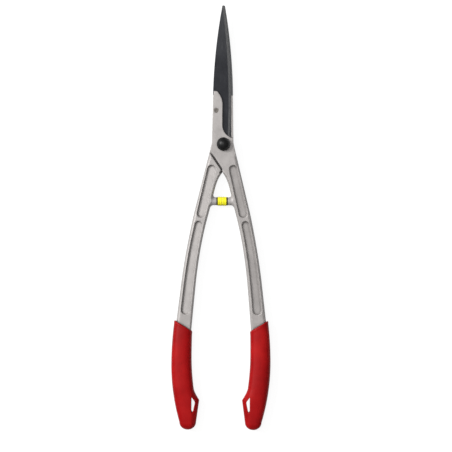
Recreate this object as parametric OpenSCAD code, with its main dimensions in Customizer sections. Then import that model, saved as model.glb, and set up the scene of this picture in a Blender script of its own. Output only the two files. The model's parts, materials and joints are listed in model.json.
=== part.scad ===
// Long-handled hedge shears with straight blades, cast arms and sleeve grips.
// The shears lie flat and closed. +Z is up, +Y runs towards the blade tips.
// The origin is under the middle of the shears, level with their lowest point.
// Each half is drawn in its own frame: pivot line at y = 0, meeting plane of the
// blades at z = 0, its head plate above that plane and its arm to the +X side.
// The rear half is the same half turned over about the long axis.

/* [Overall] */
// Length from the blade tips to the ends of the grips
overall_len = 654.5; // [600:0.5:720]
// Distance from the pivot to the blade tips
blade_reach = 214; // [190:1:240]
// Distance of the pivot to one side of the middle line
pivot_shift = 1.2; // [0:0.1:2]
// Half of the thickness of the arms
arm_half_t = 7; // [6:0.1:9]

/* [Blades] */
// Thickness of each blade
blade_t = 3.2; // [2.4:0.1:4]
// Gap between the two blades, filled by the blade washer
blade_gap = 0.4; // [0.3:0.05:1]
// Half of the width across the closed blades at their widest
blade_half_w = 15.6; // [13:0.1:19]
// Radius of the curved spine of each blade
spine_r = 875; // [700:5:1200]
// Distance below the tips where the spine runs parallel to the middle line
spine_start = 154; // [139:1:174]
// Distance of the cutting edge inside the outline of the closed blades at their widest
edge_inset = 3.3; // [2:0.1:5]
// Distance of the cutting edge inside that outline at the tips
edge_inset_tip = 0.6; // [0.3:0.1:2]
// Width of the bevel ground along the cutting edge
bevel_w = 3.6; // [2:0.1:6]
// Thickness left at the cutting edge
edge_t = 0.6; // [0.3:0.1:1.2]
// Radius of the rounded blade tip
tip_r = 2.2; // [1:0.1:4]
// Radius of the blade around the pivot
tang_r = 13; // [11:0.1:15]

/* [Head] */
// Height above the pivot of the end of the head plate
plate_top = 81.6; // [60:0.1:90]
// Height above the pivot of the end of the spine lip
lip_top = 75.5; // [50:0.5:80]
// Width of the lip that backs the blade spine
lip_w = 3.1; // [2:0.1:5]
// Half of the width of the head at the end of the lip
head_half_top = 15.2; // [13:0.1:18]
// Half of the width of the head at the start of the arm
head_half_low = 16.6; // [14:0.1:20]
// Height above the pivot where the arm starts to flare
flare_y = 2; // [0:0.5:8]
// Distance of the free edge of the head plate from the middle line
plate_edge = 0.5; // [0:0.1:4]
// Radius of the rounded end of the head plate
ogive_r = 31; // [20:0.5:45]
// Height above the pivot where the rounded end starts
ogive_y = 60; // [45:0.5:65]
// Radius of the hollow that carries the plate edge across the head
sweep_r = 20; // [14:0.5:26]
// Height above the pivot where that hollow starts
sweep_y = 29; // [24:0.5:40]
// Distance of the slot at the half lap from the pivot
lap_reach = 24; // [20:0.1:30]
// Angle of the slot at the half lap from the middle line
lap_angle = 34; // [28:0.5:40]
// Width of the slot at the half lap
lap_gap = 2.3; // [1.5:0.1:4]

/* [Arms] */
// Angle at which the arms leave the head
arm_splay = 13.8; // [10:0.1:18]
// Distance below the pivot where the arms start to bend
bend_start = 104; // [80:1:130]
// Radius of the bend of the arms
bend_r = 850; // [600:10:1200]
// Angle of the arms where they enter the grips
arm_end_angle = 5.9; // [2:0.1:9]
// Distance of the arm centre from the middle line where the bend starts
arm_centre = 31.4; // [26:0.1:36]
// Width of the arm beside the head
arm_w_top = 22.75; // [18:0.1:28]
// Width of the arm at its narrowest
arm_w_mid = 21.3; // [16:0.1:26]
// Width of the arm at the grip
arm_w_end = 24; // [18:0.1:28]
// Distance below the pivot of the narrowest place of the arm
arm_mid = 150; // [120:1:190]
// Distance above the ends of the grips of the end of the full arm section
arm_end = 148.5; // [130.5:0.5:160.5]
// Width of the tang that runs on inside the grip
tang_w = 14; // [10:0.5:18]
// Thickness of the tang that runs on inside the grip
tang_t = 9; // [6:0.5:12]
// Distance above the ends of the grips of the end of the tang
tang_end = 64.5; // [60.5:0.5:110.5]
// Distance of the tang outside the centre line of the arm
tang_x = 0.56; // [-3:0.02:3]

/* [Pockets] */
// Depth of the pockets in both faces of the arms
pocket_depth = 3.6; // [1:0.1:5]
// Distance below the pivot of the upper rounding of the short pocket
short_from = 38.8; // [36:0.1:50]
// Distance of that rounding from the middle line
short_from_x = 16.9; // [15:0.1:19]
// Distance below the pivot of the lower rounding of the short pocket
short_to = 106.8; // [90:0.1:108]
// Distance of that rounding from the middle line
short_to_x = 32.5; // [28:0.1:36]
// Half of the width of the short pocket
short_half_w = 6.6; // [4:0.1:8]
// Distance below the pivot of the upper end of the long pocket
long_from = 118.4; // [117:0.1:140]
// Distance above the ends of the grips of the lower end of the long pocket
long_to = 177.7; // [174.5:0.1:220.5]
// Half of the width of the long pocket at its upper end
long_half_w_top = 5.9; // [4:0.1:8]
// Half of the width of the long pocket at its lower end
long_half_w_low = 7; // [4:0.1:8.5]

/* [Grips] */
// Half of the thickness of the grips
grip_half_t = 12.5; // [10:0.1:15]
// Distance above the ends of the grips where they reach their full thickness
full_y = 140.5; // [120.5:0.5:150.5]
// Distance above the ends of the grips where they start to get thinner
thin_y = 70.5; // [66.5:0.5:90.5]
// Loss of half thickness at the ends of the grips
thin_end = 4.2; // [2:0.1:6]
// Distance of the widest place of the grip outside the centre line of the arm
grip_out_x = 17.56; // [13:0.02:21]
// Distance above the ends of the grips of their widest place
grip_out_y = 101.5; // [90.5:0.5:115.5]
// Radius of the outer edge above its widest place
grip_out_r_up = 520; // [400:10:800]
// Radius of the outer edge below its widest place
grip_out_r_low = 308; // [250:2:400]
// Distance of the inner edge inside the centre line of the arm
grip_in_x = 13.69; // [12:0.01:16]
// Distance above the ends of the grips of the start of the inner hollow
grip_in_y = 114.5; // [100.5:0.5:125.5]
// Radius of the inner hollow
grip_in_r = 360; // [280:5:500]
// Distance above the ends of the grips of the start of the finger hook
hook_start = 63.5; // [58.5:0.5:70.5]
// Distance above the ends of the grips of the point of the finger hook
hook_y = 46; // [40.5:0.5:52.5]
// Distance of the point of the finger hook inside the centre line of the arm
hook_x = 25.94; // [21:0.02:31]
// Angle of the straight edge below the finger hook
hook_angle = 7.8; // [4:0.1:12]
// Length of the rounded end of the grip
grip_end_len = 11.5; // [8:0.5:16]
// Distance above the ends of the grips of their rim at its outer side
rim_out_y = 168.9; // [164.5:0.1:172.5]
// Angle of the rim of the grip
rim_angle = 31; // [20:0.5:40]
// Distance of the straight side of the hanging hole inside the centre line of the arm
hang_x = 13.94; // [11:0.02:16]
// Width of the hanging hole
hang_w = 5.2; // [4:0.1:7]
// Distance above the ends of the grips of the upper point of the hanging hole
hang_top = 50.7; // [46.5:0.1:54.5]
// Length of the hanging hole
hang_len = 23.6; // [18:0.1:26]

/* [Pivot] */
// Diameter of the pivot bolt
bolt_d = 8; // [6:0.5:10]
// Diameter of the head of the pivot bolt
bolt_head_d = 19; // [15:0.5:22]
// Width of the square neck under the head of the bolt
neck_w = 11; // [9:0.1:13]
// Outside diameter of the pivot bush
bush_d = 12; // [10:0.1:14]
// Diameter of the blade washer
blade_washer_d = 22; // [18:0.5:25]
// Diameter of the disc spring
spring_d = 17.6; // [14:0.1:18]
// Thickness of the disc spring
spring_t = 0.7; // [0.4:0.1:1.2]
// Free height of the disc spring
spring_h = 1; // [0.8:0.1:2]
// Diameter of the washer under the nut
nut_washer_d = 16.6; // [14:0.1:17.6]
// Thickness of the washer under the nut
nut_washer_t = 1.2; // [1:0.1:2]
// Width across the flats of the nut
nut_af = 13; // [10:0.5:14]
// Height of the nut
nut_h = 5; // [4.5:0.1:6]
// Height of the locking ring in the nut
insert_h = 1.6; // [1:0.1:2.5]
// Diameter of the domed cap over the nut
cap_d = 20.6; // [18:0.1:24]
// Height of the straight wall of the cap
cap_wall_h = 5; // [4:0.1:6]
// Height of the domed cap
cap_h = 11.5; // [10:0.1:13]
// Running clearance on the radius of the pivot
run_clear = 0.05; // [0.02:0.01:0.1]
// Gap between the cap and the head plate
cap_gap = 0.3; // [0.2:0.05:0.6]

/* [Blade screws] */
// Height of the blade screw above the pivot
screw_y = 51.8; // [40:0.1:58]
// Distance of the blade screw from the middle line
screw_x = 10.2; // [8:0.1:11]
// Diameter of the blade screw
screw_d = 5; // [4:0.5:6]
// Diameter of the head of the blade screw
screw_head_d = 7; // [6:0.1:8]
// Height of the head of the blade screw
screw_head_h = 1.8; // [1:0.1:2.4]
// Width across the flats of the socket in the screw head
socket_af = 3; // [2:0.5:4]
// Depth of the socket in the screw head
socket_h = 1.2; // [0.8:0.1:1.6]

/* [Bumpers] */
// Distance of the bumpers below the pivot
bumper_y = 88; // [80:0.5:95]
// Diameter of the elastic bumpers
bumper_d = 13.8; // [10:0.1:14]
// Length of each bumper
bumper_len = 6.6; // [4:0.1:9]
// Thickness of the seat ring behind each bumper
seat_t = 2; // [1:0.1:3]
// Diameter of the seat ring behind each bumper
seat_d = 13; // [10:0.1:14]
// Diameter of the arm boss that carries the bumper
boss_d = 12.4; // [10:0.1:14]
// Diameter of the stem of the bumper
stem_d = 5; // [3:0.1:7]
// Length of the stem inside the boss
stem_len = 8; // [5:0.1:10]
// Gap between the two bumpers when the shears are closed
bumper_gap = 0.1; // [0.05:0.05:0.5]

/* [Hidden] */
$fn = 96;
fit = 0.02;
pivot_y = overall_len / 2 - blade_reach;
spine_y = blade_reach - spine_start;
tip_run = spine_start - tip_r;
spine_drop = spine_r - sqrt(spine_r * spine_r - tip_run * tip_run);
edge_drop = spine_drop - edge_inset + edge_inset_tip;
edge_r = (tip_run * tip_run + edge_drop * edge_drop) / (2 * edge_drop);
edge_x = blade_half_w - edge_inset;
tip_half_w = blade_half_w - spine_drop;
grip_end_y = overall_len - blade_reach;
mid_z = grip_half_t;
half_gap = blade_gap / 2;
plate_low = half_gap + blade_t;
plate_t = arm_half_t - plate_low;
splay = tan(arm_splay);
end_slope = tan(arm_end_angle);
bend_len = bend_r * (sin(arm_splay) - sin(arm_end_angle));
bend_end = bend_start + bend_len;
bend_run = bend_r * (cos(arm_end_angle) - cos(arm_splay));
arm_end_y = grip_end_y - arm_end;
arm_wide_y = arm_end_y - 24;
grip_axis = centre_x(arm_end_y);
tang_axis = grip_axis + tang_x;
tang_low = grip_end_y - tang_end - tang_w / 2;
hang_side = grip_axis - hang_x;
hang_y = grip_end_y - hang_top;
nut_z = arm_half_t + run_clear + spring_h + nut_washer_t;
nut_r = nut_af / sqrt(3);
bolt_top = nut_z + nut_h + 0.4;
cap_base = arm_half_t + cap_gap;
lap_n = [-cos(lap_angle), -sin(lap_angle)];
lap_d = [sin(lap_angle), -cos(lap_angle)];
arm_steps = 16;
round_steps = 12;
ring_steps = 28;

// ---- outline of one half ------------------------------------------------
// Arm centre line: straight, then one bend, then straight again.
function arc_x(d) =
    let (s = sin(arm_splay) - (d - bend_start) / bend_r)
    arm_centre + bend_r * (sqrt(1 - s * s) - cos(arm_splay));
function centre_x(d) =
    d < bend_start ? arm_centre - (bend_start - d) * splay :
    d < bend_end ? arc_x(d) :
    arm_centre + bend_run + (d - bend_end) * end_slope;

// Width of the arm, measured across the shears.
function width_at(d) =
    d < arm_mid
    ? min(arm_w_top, arm_w_mid + (arm_w_top - arm_w_mid) * pow((arm_mid - d) / (arm_mid - bend_start), 2))
    : arm_w_mid + (arm_w_end - arm_w_mid) * pow((d - arm_mid) / (arm_wide_y - arm_mid), 1.5);

// The outer edge leaves the head in a straight line and joins the arm.
function head_edge(d) = head_half_low + (d + flare_y) * splay;
function outer_x(d) = d < bend_start ? head_edge(d) : min(head_edge(d), centre_x(d) + width_at(d) / 2);
function inner_line(d) = centre_x(d) - width_at(d) / 2;
function inner_x(d) = inner_line(d) - (d < 72 ? 0.00067 / 3 * pow(72 - d, 3) : 0);
function head_x(y) =
    head_half_low + (head_half_top - head_half_low) * (y - flare_y) / (lip_top - flare_y);

// Points along the edge of the half lap, at a signed distance from the pivot.
function lap_point(s, reach, t) = [s, 0] + reach * lap_n + t * lap_d;
function flip(p) = [-p[0], p[1]];
function corner_y(s, reach) =
    (reach + (head_half_low + flare_y * splay + s) * lap_n[0])
    / (splay * lap_n[0] + lap_n[1]);
function head_corner(s, reach) =
    let (y = corner_y(s, reach)) [-(head_half_low + (flare_y - y) * splay), y];

// Edges of the arm. Both layers of the half use the same stations.
arm_stations = [for (k = [0 : 1 : arm_steps]) bend_start + (arm_end_y - bend_start) * k / arm_steps];
inner_edge = [
    for (k = [0 : 1 : 6]) let (d = 46.5 + 25.5 * k / 6) [inner_x(d), -d],
    for (d = arm_stations) [inner_x(d), -d]
];
outer_edge = [for (k = [arm_steps : -1 : 0]) [outer_x(arm_stations[k]), -arm_stations[k]]];

// The hollow and the rounded end of the head plate.
function sweep_at(x) = sweep_y - sqrt(sweep_r * sweep_r - pow(x + plate_edge - sweep_r, 2));
function sweep_edge() =
    let (x0 = head_x(sweep_at(head_half_low)), a0 = asin((x0 + plate_edge - sweep_r) / sweep_r))
    [for (k = [0 : 1 : 9]) let (a = a0 + (-90 - a0) * k / 9)
        [sweep_r - plate_edge + sweep_r * sin(a), sweep_y - sweep_r * cos(a)]];
function ogive_edge() =
    let (a1 = asin((plate_top - ogive_y) / ogive_r))
    [for (k = [0 : 1 : 8]) let (a = a1 * k / 8)
        [-plate_edge - ogive_r * (1 - cos(a)), ogive_y + ogive_r * sin(a)]];

// Where the half lap of the other half leaves the outer edge of the arm.
function shoulder_top(s) =
    let (d = -corner_y(-s, lap_reach + lap_gap / 2)) [outer_x(d), -d];

// Points from the outer edge over the head plate to the apex of the window.
function head_points(s) =
    let (reach = lap_reach - lap_gap / 2)
    concat(
        [[head_half_low, flare_y]],
        sweep_edge(),
        ogive_edge(),
        [[-head_half_top + 0.8, plate_top], [-head_half_top + 0.8, lip_top],
         [-head_half_top, lip_top], [-head_half_low, flare_y], head_corner(s, reach)],
        [lap_point(s, reach, 31.5), [0.3, -43.6]]
    );

// Points along the shoulder of the arm below the meeting plane.
function shoulder_points(s) =
    let (reach = lap_reach + lap_gap / 2)
    [
        flip(lap_point(-s, reach, 4)),
        flip(lap_point(-s, reach, 27)),
        flip(lap_point(-s, reach, 29.5)) - [0.6, 0.6],
        [2.7, -43.6]
    ];

// Casting of one half: full arm, with the head plate above the meeting plane only.
module casting(s) {
    arm = concat(inner_edge, outer_edge, [shoulder_top(s)]);
    translate([0, 0, -arm_half_t]) linear_extrude(arm_half_t + half_gap)
        polygon(concat(arm, shoulder_points(s)));
    translate([0, 0, half_gap]) linear_extrude(arm_half_t - half_gap)
        polygon(concat(arm, head_points(s)));
}

// ---- placing ------------------------------------------------------------
module front() {
    translate([0, pivot_y, mid_z]) children();
}

module rear() {
    translate([0, pivot_y, mid_z]) rotate([0, 180, 0]) children();
}

module at_pivot() {
    translate([pivot_shift, pivot_y, mid_z]) children();
}

// ---- handles ------------------------------------------------------------
// A slot outline along a list of [x, y, half width] stations, with round ends.
function slot(stations) =
    let (n = len(stations) - 1,
         u0 = heading(stations[0], stations[1]), u1 = heading(stations[n - 1], stations[n]))
    concat(
        [for (k = [0 : 1 : round_steps]) spoke(stations[0], u0, 90 + 180 * k / round_steps)],
        [for (k = [1 : 1 : n - 1])
            spoke(stations[k], heading(stations[k - 1], stations[k + 1]), -90)],
        [for (k = [0 : 1 : round_steps]) spoke(stations[n], u1, -90 + 180 * k / round_steps)],
        [for (k = [n - 1 : -1 : 1])
            spoke(stations[k], heading(stations[k - 1], stations[k + 1]), 90)]
    );
function heading(a, b) = atan2(b[1] - a[1], b[0] - a[0]);
function spoke(p, a, turn) = [p[0] + p[2] * cos(a + turn), p[1] + p[2] * sin(a + turn)];

module short_pocket() {
    polygon(slot([[short_from_x, -short_from, short_half_w], [short_to_x, -short_to, short_half_w]]));
}

module long_pocket() {
    top_y = long_from + long_half_w_top;
    low_y = grip_end_y - long_to - long_half_w_low;
    steps = 10;
    polygon(slot([for (k = [0 : 1 : steps])
        let (f = k / steps, d = top_y + (low_y - top_y) * f)
        [centre_x(d) + 0.2, -d, long_half_w_top + (long_half_w_low - long_half_w_top) * f]]));
}

module pockets() {
    for (z = [arm_half_t - pocket_depth, -arm_half_t - 1])
        translate([0, 0, z]) linear_extrude(pocket_depth + 1) {
            short_pocket();
            long_pocket();
        }
}

// Room in the head for the blade: open to the cutting side and past the lip.
module blade_room(s) {
    translate([0, 0, half_gap - 1]) linear_extrude(blade_t + 1) {
        translate([s, 0]) circle(r = tang_r + fit);
        polygon([
            [-tang_left(lip_top) - fit, lip_top], [-tang_left(8) - fit, 8],
            [s - tang_r - fit, 0], [head_half_low + 4, 0],
            [head_half_low + 4, plate_top + 1], [-head_half_top - 2, plate_top + 1],
            [-head_half_top - 2, lip_top]
        ]);
    }
}

function tang_left(y) = head_x(y) - lip_w - fit;

// Solid bar inside the grip that carries on from the arm.
module grip_tang() {
    translate([tang_axis - tang_w / 2, -tang_low, -tang_t / 2])
        cube([tang_w, tang_low - arm_end_y + 2, tang_t]);
    translate([tang_axis, -tang_low, -tang_t / 2])
        cylinder(d = tang_w, h = tang_t);
}

module bumper_boss() {
    x0 = bumper_gap / 2 + bumper_len + seat_t;
    translate([x0, -bumper_y, 0]) rotate([0, 90, 0])
        cylinder(d = boss_d, h = inner_x(bumper_y) + 2 - x0);
}

module stem_hole() {
    translate([bumper_gap / 2 + bumper_len, -bumper_y, 0]) rotate([0, 90, 0])
        cylinder(d = stem_d + 2 * fit, h = seat_t + stem_len + 0.5);
}

module screw_hole(s) {
    translate([-screw_x, screw_y, half_gap]) cylinder(d = screw_d + 2 * fit, h = arm_half_t);
    translate([-screw_x, screw_y, arm_half_t - screw_head_h])
        cylinder(d = screw_head_d + 2 * fit, h = screw_head_h + 1);
}

module handle_body(s) {
    difference() {
        union() {
            casting(s);
            bumper_boss();
            grip_tang();
        }
        blade_room(s);
        pockets();
        stem_hole();
        screw_hole(s);
    }
}

module front_handle() {
    color("#bcb8b4") front() difference() {
        handle_body(pivot_shift);
        translate([pivot_shift, 0, 0]) cylinder(d = bush_d + 2 * fit, h = arm_half_t + 1);
    }
}

module rear_handle() {
    color("#bcb8b4") rear() difference() {
        handle_body(-pivot_shift);
        translate([-pivot_shift - neck_w / 2 - fit, -neck_w / 2 - fit, 0])
            cube([neck_w + 2 * fit, neck_w + 2 * fit, arm_half_t + 1]);
    }
}

// ---- blades -------------------------------------------------------------
// The spine is an arc; the cutting edge is a flatter arc that meets it at the tip.
module blade_plan(s) {
    intersection() {
        translate([spine_r - blade_half_w, spine_y]) circle(r = spine_r, $fn = 360);
        translate([edge_x - edge_r, spine_y]) circle(r = edge_r, $fn = 360);
        translate([-blade_half_w - 1, lip_top + fit])
            square([2 * blade_half_w + 2, blade_reach - tip_r - lip_top - fit]);
    }
    intersection() {
        polygon([
            [-tang_left(lip_top), lip_top + fit], [-tang_left(8), 8], [s - tang_r, 0],
            [s + tang_r, 0], [edge_x, 6], [edge_x, lip_top + fit]
        ]);
        translate([-blade_half_w, 0]) square([2 * blade_half_w, lip_top + 2 * fit]);
    }
    translate([s, 0]) circle(r = tang_r);
    intersection() {
        translate([tip_r - tip_half_w - fit, blade_reach - tip_r]) circle(r = tip_r);
        translate([-tip_half_w, blade_reach - 2 * tip_r]) square([4 * tip_r, 2 * tip_r]);
    }
}

module blade_body(s) {
    difference() {
        translate([0, 0, half_gap]) linear_extrude(blade_t) blade_plan(s);
        // Bevel: everything outside a wide cone that narrows upwards.
        translate([edge_x - edge_r, spine_y, half_gap + edge_t])
            difference() {
                translate([0, 12 - spine_y, 0]) cube([edge_r + 40, blade_reach + 40, blade_t]);
                translate([0, 0, -0.01])
                    cylinder(r1 = edge_r, r2 = edge_r - bevel_w, h = blade_t - edge_t + 0.02, $fn = 360);
            }
        translate([-screw_x, screw_y, 0]) cylinder(d = screw_d + 2 * fit, h = blade_t * 2);
    }
}

module front_blade() {
    color("#3a3b40") front() difference() {
        blade_body(pivot_shift);
        translate([pivot_shift, 0, 0]) cylinder(d = bush_d + 2 * fit, h = blade_t * 2);
    }
}

module rear_blade() {
    color("#35363b") rear() difference() {
        blade_body(-pivot_shift);
        translate([-pivot_shift, 0, 0]) cylinder(d = bolt_d + 2 * fit, h = blade_t * 2);
    }
}

// ---- grips --------------------------------------------------------------
// Places are given by their distance u above the ends of the grips.
function grip_outer(u) =
    grip_axis + grip_out_x - pow(grip_out_y - u, 2) / (2 * (u > grip_out_y ? grip_out_r_up : grip_out_r_low));
function hollow_x(u) =
    grip_axis - grip_in_x - (u > grip_in_y ? 0.00035 : 0.5 / grip_in_r) * pow(grip_in_y - u, 2);
function hook_line(u) = grip_axis - hook_x + (hook_y - u) * tan(hook_angle);
function grip_inner(u) =
    u > hook_start ? hollow_x(u) :
    u > hook_y ? hollow_x(hook_start)
        + (hook_line(hook_y) - hollow_x(hook_start)) * pow((hook_start - u) / (hook_start - hook_y), 1.35) :
    hook_line(u);
function grip_depth(u) =
    u > full_y ? grip_half_t - 1.2 * pow((u - full_y) / 40, 2) :
    u > thin_y ? grip_half_t :
    grip_half_t - thin_end * pow((thin_y - u) / thin_y, 1.4);

// Sections of the grip: centre, half width and half thickness at one place.
function grip_section(u) =
    let (f = u >= grip_end_len ? 1 : sqrt(max(0, 1 - pow((grip_end_len - u) / grip_end_len, 2))),
         e = max(u, grip_end_len),
         lo = grip_inner(e), hi = grip_outer(e))
    [(lo + hi) / 2, f * (hi - lo) / 2, (0.25 + 0.75 * f) * grip_depth(u)];
function super(c, n) = sign(c) * pow(abs(c), 2 / n);
function grip_ring(u) =
    let (g = grip_section(u))
    [for (k = [0 : 1 : ring_steps - 1]) let (a = 360 * k / ring_steps)
        [g[0] + g[1] * super(cos(a), 2.5), u - grip_end_y, g[2] * super(sin(a), 2.5)]];
function between(a, b, steps) = [for (f = steps) a + (b - a) * f];
grip_stations = concat(
    between(rim_out_y + 13.6, thin_y, [0 : 1 / 14 : 1.001]),
    between(hook_start, hook_y, [0, 0.26, 0.51, 0.77]),
    between(hook_y, grip_end_len, [0, 0.16, 0.45, 0.74]),
    [for (k = [0 : 1 : 5]) grip_end_len * (1 - sin(k * 90 / 5.25))]);

module grip_loft() {
    n = ring_steps;
    m = len(grip_stations);
    points = [for (u = grip_stations) each grip_ring(u)];
    sides = [for (j = [0 : 1 : m - 2]) for (i = [0 : 1 : n - 1])
        let (a = j * n + i, b = j * n + (i + 1) % n)
        each [[a, b, b + n], [a, b + n, a + n]]];
    first = [[for (i = [n - 1 : -1 : 0]) i]];
    last = [[for (i = [0 : 1 : n - 1]) (m - 1) * n + i]];
    polyhedron(points = points, faces = concat(sides, first, last), convexity = 4);
}

module hang_hole() {
    translate([hang_side, -hang_y, -grip_half_t - 1]) linear_extrude(2 * grip_half_t + 2) polygon([
        [-0.1, 0], [0, -1.2], [0, 2.4 - hang_len], [-0.9, 0.3 - hang_len], [-1.6, -hang_len],
        [-2.5, 1.2 - hang_len], [0.2 - hang_w, -10.6], [-hang_w, -8.6], [0.4 - hang_w, -6.6]
    ]);
}

module grip_body() {
    difference() {
        grip_loft();
        // Slanting rim.
        translate([grip_outer(rim_out_y), rim_out_y - grip_end_y, -20]) rotate([0, 0, rim_angle])
            translate([-80, 0, 0]) cube([120, 40, 40]);
        arm_core();
        grip_tang();
        hang_hole();
    }
}

// The part of the arm that the grip slides over.
module arm_core() {
    ends = [for (k = [arm_steps - 4 : 1 : arm_steps]) arm_stations[k]];
    translate([0, 0, -arm_half_t]) linear_extrude(2 * arm_half_t) polygon(concat(
        [for (d = ends) [inner_x(d), -d]],
        [for (k = [4 : -1 : 0]) [outer_x(ends[k]), -ends[k]]]));
}

module front_grip() {
    color("#b8191d") front() grip_body();
}

module rear_grip() {
    color("#b8191d") rear() grip_body();
}

// ---- pivot --------------------------------------------------------------
module pivot_bolt() {
    color("#6f7074") at_pivot() {
        translate([0, 0, -mid_z]) cylinder(d1 = bolt_head_d - 3, d2 = bolt_head_d, h = 1.5);
        translate([0, 0, -mid_z + 1.5]) cylinder(d = bolt_head_d, h = mid_z - 1.5 - arm_half_t);
        translate([-neck_w / 2, -neck_w / 2, -arm_half_t]) cube([neck_w, neck_w, plate_t]);
        translate([0, 0, -arm_half_t]) cylinder(d = bolt_d, h = arm_half_t + bolt_top);
    }
}

module pivot_bush() {
    color("#b98b4a") at_pivot() translate([0, 0, half_gap]) difference() {
        cylinder(d = bush_d, h = arm_half_t - half_gap);
        translate([0, 0, -1]) cylinder(d = bolt_d + 2 * run_clear, h = arm_half_t + 2);
    }
}

module blade_washer() {
    color("#c9b37a") at_pivot() translate([0, 0, -half_gap]) difference() {
        cylinder(d = blade_washer_d, h = blade_gap - run_clear);
        translate([0, 0, -1]) cylinder(d = bolt_d + 2 * fit, h = 3);
    }
}

module disc_spring() {
    rise = spring_h - spring_t;
    color("#55565a") at_pivot() translate([0, 0, arm_half_t + run_clear]) rotate_extrude()
        polygon([[bolt_d / 2 + fit, rise], [spring_d / 2, 0], [spring_d / 2, spring_t],
            [bolt_d / 2 + fit, spring_h]]);
}

module nut_washer() {
    color("#8b8c90") at_pivot() translate([0, 0, nut_z - nut_washer_t]) difference() {
        cylinder(d = nut_washer_d, h = nut_washer_t);
        translate([0, 0, -1]) cylinder(d = bolt_d + 2 * fit, h = nut_washer_t + 2);
    }
}

module pivot_nut() {
    color("#8b8c90") at_pivot() translate([0, 0, nut_z]) difference() {
        intersection() {
            cylinder(r = nut_r, h = nut_h, $fn = 6);
            cylinder(r1 = nut_r + nut_h - 0.6, r2 = nut_r - 0.6, h = nut_h);
        }
        translate([0, 0, -1]) cylinder(d = bolt_d + 2 * fit, h = nut_h + 2);
        translate([0, 0, nut_h - insert_h]) cylinder(d = bolt_d + 2.4 + 2 * fit, h = insert_h + 1);
    }
}

module nut_insert() {
    color("#e8e6df") at_pivot() translate([0, 0, nut_z + nut_h - insert_h]) difference() {
        cylinder(d = bolt_d + 2.4, h = insert_h - 0.1);
        translate([0, 0, -1]) cylinder(d = bolt_d + 2 * fit, h = insert_h + 2);
    }
}

module pivot_cap() {
    dome_h = cap_h - cap_wall_h;
    base_r = cap_d / 2;
    ball_r = (base_r * base_r + dome_h * dome_h) / (2 * dome_h);
    color("#141415") at_pivot() translate([0, 0, cap_base]) difference() {
        union() {
            cylinder(d = cap_d, h = cap_wall_h);
            intersection() {
                translate([0, 0, cap_h - ball_r]) sphere(r = ball_r);
                translate([0, 0, cap_wall_h - 0.01]) cylinder(d = cap_d, h = dome_h + 1);
            }
        }
        translate([0, 0, -1]) cylinder(d = spring_d + 0.4, h = nut_z - cap_base + 1);
        translate([0, 0, -1]) cylinder(r = nut_r + fit, h = bolt_top - cap_base + 1.1);
    }
}

// ---- blade screws -------------------------------------------------------
module blade_screw() {
    translate([-screw_x, screw_y, 0]) difference() {
        union() {
            translate([0, 0, half_gap + 0.1])
                cylinder(d = screw_d, h = arm_half_t - half_gap - 0.1 - screw_head_h / 2);
            translate([0, 0, arm_half_t - screw_head_h]) cylinder(d = screw_head_d, h = screw_head_h);
        }
        translate([0, 0, arm_half_t - socket_h])
            cylinder(r = socket_af / sqrt(3), h = socket_h + 1, $fn = 6);
    }
}

module front_blade_screw() {
    color("#4a4038") front() blade_screw();
}

module rear_blade_screw() {
    color("#4a4038") rear() blade_screw();
}

// ---- bumpers ------------------------------------------------------------
module bumper_body() {
    translate([bumper_gap / 2, -bumper_y, 0]) rotate([0, 90, 0]) {
        cylinder(d = bumper_d, h = bumper_len);
        translate([0, 0, bumper_len - 0.5]) cylinder(d = stem_d, h = seat_t + stem_len + 0.5);
    }
}

module seat_body() {
    translate([bumper_gap / 2 + bumper_len, -bumper_y, 0]) rotate([0, 90, 0]) difference() {
        cylinder(d = seat_d, h = seat_t);
        translate([0, 0, -1]) cylinder(d = stem_d + 2 * fit, h = seat_t + 2);
    }
}

module front_bumper() {
    color("#f2ea20") front() bumper_body();
}

module rear_bumper() {
    color("#f2ea20") rear() bumper_body();
}

module front_bumper_seat() {
    color("#4b4420") front() seat_body();
}

module rear_bumper_seat() {
    color("#4b4420") rear() seat_body();
}

front_handle();
rear_handle();
front_blade();
rear_blade();
front_grip();
rear_grip();
pivot_bolt();
pivot_bush();
blade_washer();
disc_spring();
nut_washer();
pivot_nut();
nut_insert();
pivot_cap();
front_blade_screw();
rear_blade_screw();
front_bumper();
rear_bumper();
front_bumper_seat();
rear_bumper_seat();
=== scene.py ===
"""Long-handled hedge shears, lying closed on a white table and seen from straight above."""
import json
import math

import bpy
import numpy as np
from mathutils import Matrix, Vector


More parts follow.
